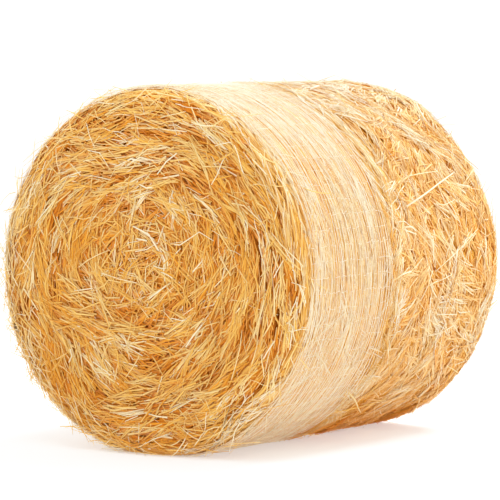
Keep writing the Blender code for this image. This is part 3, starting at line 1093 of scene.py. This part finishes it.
# Stalks that stand out on their own, most of them at the two rims
STRAYS = 1200
STRAY_RIM = 0.3
RIM_SPREADS = (0.045, 0.05, 0.03)
FROM_MIDDLE = 0.05
SHAGGY_TURN = -120
SHAGGY_SPREAD = 26
STRAY_RINGS = 4
STRAY_LENGTH = (0.045, 0.120)
STRAY_WIDTH = (0.0018, 0.0042)
STRAY_TAPER = (1.0, 0.95, 0.85, 0.6)
STRAY_THICKNESS = 0.3
STRAY_HEADING = 42
STRAY_CLIMB = (2.0, 5.5)
STRAY_KINK = 11
STRAY_REACH = 0.036
STRAY_DEPTH = 0.006
STRAY_TONES = (0.80, 0.20)
STRAY_ROLL = 0.3
PLACED_ROLL = 0.2


def single_stalks(centre, normal, width, roll, tone, chance):
    """Tapering stalks as one batch, all of them on top and none of them aged."""
    even = np.ones(centre.shape[:2])
    return {
        "centre": centre,
        "normal": normal,
        "width": width[:, None] * np.array(STRAY_TAPER),
        "thickness": (width * STRAY_THICKNESS)[:, None] * even,
        "roll": roll,
        "tone": tone,
        "painted_shade": even,
        "random": chance,
        "age": np.zeros(len(centre)),
    }


def stray_stalks():
    """Stiff single stalks: each is rooted just under the surface and leaves it straight or with a kink."""
    rng = np.random.default_rng(201)
    rim = FACE_RADIUS + STRAY_RIM * QUARTER
    near_spread, far_spread, shaggy_spread = RIM_SPREADS
    outline = np.concatenate([
        rng.normal(rim, near_spread, STRAYS * 3 // 8) % OUTLINE,
        OUTLINE - rng.normal(rim, far_spread, STRAYS // 4),
        rng.uniform(FROM_MIDDLE, rim, STRAYS // 8),
        rng.uniform(OUTLINE - rim, OUTLINE - FROM_MIDDLE, STRAYS // 8),
        rng.uniform(NET_END, FAR_EDGE, STRAYS // 8),
        rng.normal(rim, shaggy_spread, STRAYS // 6) % OUTLINE,
    ])
    count = len(outline)
    turn = rng.uniform(-math.pi, math.pi, count)
    shaggy = STRAYS // 6
    turn[-shaggy:] = np.radians(rng.normal(SHAGGY_TURN, SHAGGY_SPREAD, shaggy))
    foot, normal = form_point(outline, turn)
    winding = round_roll(turn)
    angle = np.radians(rng.normal(0, STRAY_HEADING, count))[:, None]
    heading = winding * np.cos(angle) + np.cross(normal, winding) * np.sin(angle)
    heading = heading * rng.choice([-1.0, 1.0], count)[:, None]
    climb = np.radians(rng.gamma(*STRAY_CLIMB, count))[:, None]
    step = spread(rng, STRAY_LENGTH, count)[:, None] / (STRAY_RINGS - 1)
    points = [foot - normal * STRAY_DEPTH]
    for _ in range(STRAY_RINGS - 1):
        angle = np.radians(rng.normal(0, STRAY_KINK, count))[:, None]
        heading = unit(heading * np.cos(angle) + np.cross(normal, heading) * np.sin(angle))
        points.append(points[-1] + step * (heading * np.cos(climb) + normal * np.sin(climb)))
    centre = np.stack(points, 1)
    ground, _, _, _ = on_form(centre)
    kept = np.linalg.norm(centre - ground, axis=-1).max(1) < STRAY_REACH
    count = int(kept.sum())
    width = spread(rng, STRAY_WIDTH, count)
    roll = rng.normal(0, STRAY_ROLL, count)
    tone = np.clip(rng.normal(*STRAY_TONES, count), 0, 1)
    normals = np.repeat(normal[kept][:, None], STRAY_RINGS, 1)
    return single_stalks(centre[kept], normals, width, roll, tone, rng.uniform(0, 1, count))


def placed_stalks():
    """The stalks placed one by one from the list."""
    rng = np.random.default_rng(202)
    count = len(PLACED)
    outline, turn, height = np.moveaxis(np.array([line for _, _, line in PLACED], float), -1, 0)
    foot, normal = form_point(outline, np.radians(turn))
    width = np.array([width for width, _, _ in PLACED]) / 1000
    centre = foot + normal * (height / 1000)[..., None]
    roll = rng.normal(0, PLACED_ROLL, count)
    tone = np.array([tone for _, tone, _ in PLACED])
    return single_stalks(centre, normal, width, roll, tone, rng.uniform(0, 1, count))


# The net: threads round the roll, and the cross threads between neighbours, some of them broken
NET_SPACING = 0.0125
NET_START_GAP = 0.2
NET_JITTER = 0.16
NET_SWELL = 0.0012
NET_SWELLS = (2, 5, 9)
NET_WRAPS = 2
NET_SEGMENTS = 144
NET_WIDTH = 0.0012
NET_HEIGHT = 0.0046
THREAD_HEIGHT = 0.0006
WRAP_LIFT = 0.0006
WRAP_FLOORS = (0.0012, 0.0022)
CROSS_SPACING = 0.047
CROSS_WIDTH = 0.0014
CROSS_LIFT = 0.0009
CROSS_FLOOR = 0.002
CROSS_SCATTER = 0.003
CROSS_SKEW = 0.004
NET_GAPS = 0.45
NET_WEAR = 60.0


def net_material():
    looks = Looks(bpy.data.materials.new("net_thread"))
    place = looks.add("ShaderNodeTexCoord").outputs["Object"]
    worn = looks.ramp(looks.noise(place, NET_WEAR), ((0.35, CREAM), (0.6, PALE_CREAM)))
    return looks.finish(Base_Color=worn, Roughness=0.45)


def thread(line, normals, width, closed):
    """Corners and triangles of one flat thread, closed on itself or with end caps."""
    rings = len(line)
    if closed:
        tangent = unit(np.roll(line, -1, 0) - np.roll(line, 1, 0))
    else:
        tangent = unit(np.gradient(line, axis=0))
    across = unit(np.cross(tangent, normals))
    up = np.cross(across, tangent)
    corners = np.stack([line + across * width / 2 * a + up * THREAD_HEIGHT * b for a, b in CORNERS], 1)
    faces = []
    for k in range(rings if closed else rings - 1):
        n = (k + 1) % rings
        for c in range(3):
            d = (c + 1) % 3
            faces += [(3 * k + c, 3 * n + c, 3 * n + d), (3 * k + c, 3 * n + d, 3 * k + d)]
    if not closed:
        last = 3 * rings - 3
        faces += [(0, 1, 2), (last, last + 2, last + 1)]
    return corners.reshape(-1, 3), np.array(faces)


def net_line(relief, outline, turn, lift, floor):
    """A thread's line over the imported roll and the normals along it, kept clear of the floor."""
    point, normal = form_point(outline, turn)
    line = point + normal * (relief(outline, turn) + NET_HEIGHT + lift)[:, None]
    line[:, 2] = np.maximum(line[:, 2], floor)
    return line, normal


def make_net(relief):
    """The knitted net: threads round the roll in two wraps, with short cross threads between them."""
    rng = np.random.default_rng(301)
    turn = turns_round(NET_SEGMENTS)
    lines, parts = [], []
    per_wrap = int((NET_END - NET_START) / NET_SPACING)
    for wrap, number in itertools.product(range(NET_WRAPS), range(per_wrap)):
        jitter = rng.uniform(-NET_JITTER, NET_JITTER)
        place = NET_START + NET_SPACING * (number + 0.5 * wrap + NET_START_GAP + jitter)
        swell = sum(rng.normal(0, NET_SWELL) * np.sin(n * turn + rng.uniform(0, 6.3)) for n in NET_SWELLS)
        outline = np.clip(place + swell, NET_START, NET_END)
        line, normal = net_line(relief, outline, turn, WRAP_LIFT * wrap, WRAP_FLOORS[wrap])
        parts.append(thread(line, normal, NET_WIDTH, True))
        lines.append(outline)
    rows = int(math.tau * ROLL_RADIUS / CROSS_SPACING)
    for row in range(rows):
        here = -math.pi + math.tau * row / rows
        for number in range(per_wrap - 1):
            if rng.uniform() < NET_GAPS:
                continue
            outline = np.array([np.interp(here, turn, lines[n]) for n in (number, number + 1)])
            turns = here + rng.normal(0, CROSS_SCATTER) + np.array([0, rng.normal(0, CROSS_SKEW)])
            line, normal = net_line(relief, outline, turns, CROSS_LIFT, CROSS_FLOOR)
            parts.append(thread(line, normal, CROSS_WIDTH, False))
    starts = np.cumsum([0] + [len(corners) for corners, _ in parts])
    points = np.concatenate([corners for corners, _ in parts])
    faces = np.concatenate([triangles + start for (_, triangles), start in zip(parts, starts)])
    net = build_mesh("net", points, faces, net_material())
    net.data.shade_smooth()
    return net


# The surround is white at the horizon and dimmer above: heights from and to, and strengths from and to
WORLD_FADE = (0.10, 0.40, 1.16, 0.80)
WHITE = (1.0, 1.0, 1.0, 1.0)

# Each lamp's name, place, size and power
LAMPS = (
    ("key", (4.6, -1.6, 3.6), 3.4, 4),
    ("brow", (0.0, -1.7, 2.3), 1.2, 6.5),
    ("top", (1.2, 2.4, 5.2), 3.4, 380),
)


def make_stage():
    """A plain pale floor, a white surround, and soft lamps from the right, the front and above."""
    bpy.ops.mesh.primitive_plane_add(size=FLOOR_SIZE, location=(0, 0, FLOOR_HEIGHT))
    floor = bpy.context.object
    floor.name = "floor"
    looks = Looks(bpy.data.materials.new("floor"))
    glow = {"Emission_Color": WHITE, "Emission_Strength": FLOOR_GLOW}
    floor.data.materials.append(looks.finish(Base_Color=FLOOR_WHITE, Roughness=0.9, **glow))

    world = bpy.data.worlds.new("studio")
    bpy.context.scene.world = world
    surround = Looks(world)
    way = surround.add("ShaderNodeTexCoord").outputs["Generated"]
    height = surround.add("ShaderNodeSeparateXYZ", ((0, way),)).outputs["Z"]
    fade = surround.add("ShaderNodeMapRange", ((0, height), *enumerate(WORLD_FADE, 1))).outputs[0]
    surround.fill(surround.tree.nodes["Background"], (("Color", WHITE), ("Strength", fade)))
    for name, place, size, power in LAMPS:
        lamp = bpy.data.lights.new(name, "AREA")
        lamp.shape = "DISK"
        lamp.size = size
        lamp.energy = power
        obj = bpy.data.objects.new(name, lamp)
        obj.location = place
        obj.rotation_euler = (Vector(AXIS) - Vector(place)).to_track_quat("-Z", "Y").to_euler()
        bpy.context.scene.collection.objects.link(obj)


# The camera: where the photograph was taken from, and the pixel that the roll's middle falls on
CAMERA_AZIMUTH = math.radians(33.186)
CAMERA_ELEVATION = math.radians(3.6445)
CAMERA_DISTANCE = 9.92
FOCAL_PIXELS = 3129.0
FRAME_PIXELS = 500
MIDDLE_PIXEL = (254.31, 262.80)
SENSOR_WIDTH = 36.0

# The tones' shoulder: how strongly bright tones run together, and where the curve has its points
SHOULDER = 1.4
SHOULDER_POINTS = (0.02, 0.06, 0.12, 0.2, 0.3, 0.4, 0.5, 0.6, 0.7, 0.8, 0.88, 0.94)


def make_camera():
    middle = Vector(AXIS)
    level = math.cos(CAMERA_ELEVATION)
    across, forward = math.sin(CAMERA_AZIMUTH) * level, math.cos(CAMERA_AZIMUTH) * level
    back = Vector((across, -forward, math.sin(CAMERA_ELEVATION)))
    right = (-back).cross(Vector((0, 0, 1))).normalized()
    up = right.cross(-back)
    per_pixel = CAMERA_DISTANCE / FOCAL_PIXELS
    aside = (FRAME_PIXELS / 2 - MIDDLE_PIXEL[0]) * per_pixel
    above = (MIDDLE_PIXEL[1] - FRAME_PIXELS / 2) * per_pixel
    aim = middle + right * aside + up * above
    data = bpy.data.cameras.new("camera")
    data.sensor_width = SENSOR_WIDTH
    data.lens = FOCAL_PIXELS / FRAME_PIXELS * SENSOR_WIDTH
    camera = bpy.data.objects.new("camera", data)
    camera.location = middle + back * CAMERA_DISTANCE
    camera.rotation_euler = (aim - camera.location).to_track_quat("-Z", "Y").to_euler()
    bpy.context.scene.collection.objects.link(camera)
    bpy.context.scene.camera = camera
    soften_highlights(bpy.context.scene.view_settings)


def soften_highlights(view):
    """The film-like response of the photograph: bright tones run together softly below white."""
    view.view_transform = "Standard"
    view.use_curve_mapping = True
    curve = view.curve_mapping.curves[3]
    for share in SHOULDER_POINTS:
        curve.points.new(share, 1 - (1 - share) ** SHOULDER)
    view.curve_mapping.update()


def add_piece(piece, slot, *stands_for):
    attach(piece, "root")
    if stands_for:
        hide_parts(*stands_for)


def build():
    relief = Relief(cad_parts["straw_roll"])
    add_piece(make_body(relief), "straw", "straw_roll")
    # Each stalk material's last colour is its painted shade colour, for stalks deep under their neighbours
    golden = stalk_material("golden_stalks", FACE_STOPS, BURNT_GOLD)
    pale = stalk_material("pale_stalks", OPEN_STOPS, TAN)
    bleached = stalk_material("bleached_stalks", BAND_STOPS, LIGHT_GOLD)
    materials = {NEAR_FACE: golden, FAR_FACE: golden, BAND: bleached, OPEN_A: pale, OPEN_B: pale}
    for zone, material in materials.items():
        rng = np.random.default_rng(zone.seed)
        batches = [batch for layer in zone.layers for batch in lay_stalks(rng, zone, layer, relief)]
        add_painted_shade(zone, batches)
        add_piece(stalk_piece(zone.name, batches, material), "straw")
    add_piece(stalk_piece("stray_stalks", [stray_stalks(), placed_stalks()], golden), "straw")
    add_piece(make_net(relief), "net", "net_wrap")
    make_stage()
    make_camera()


build()
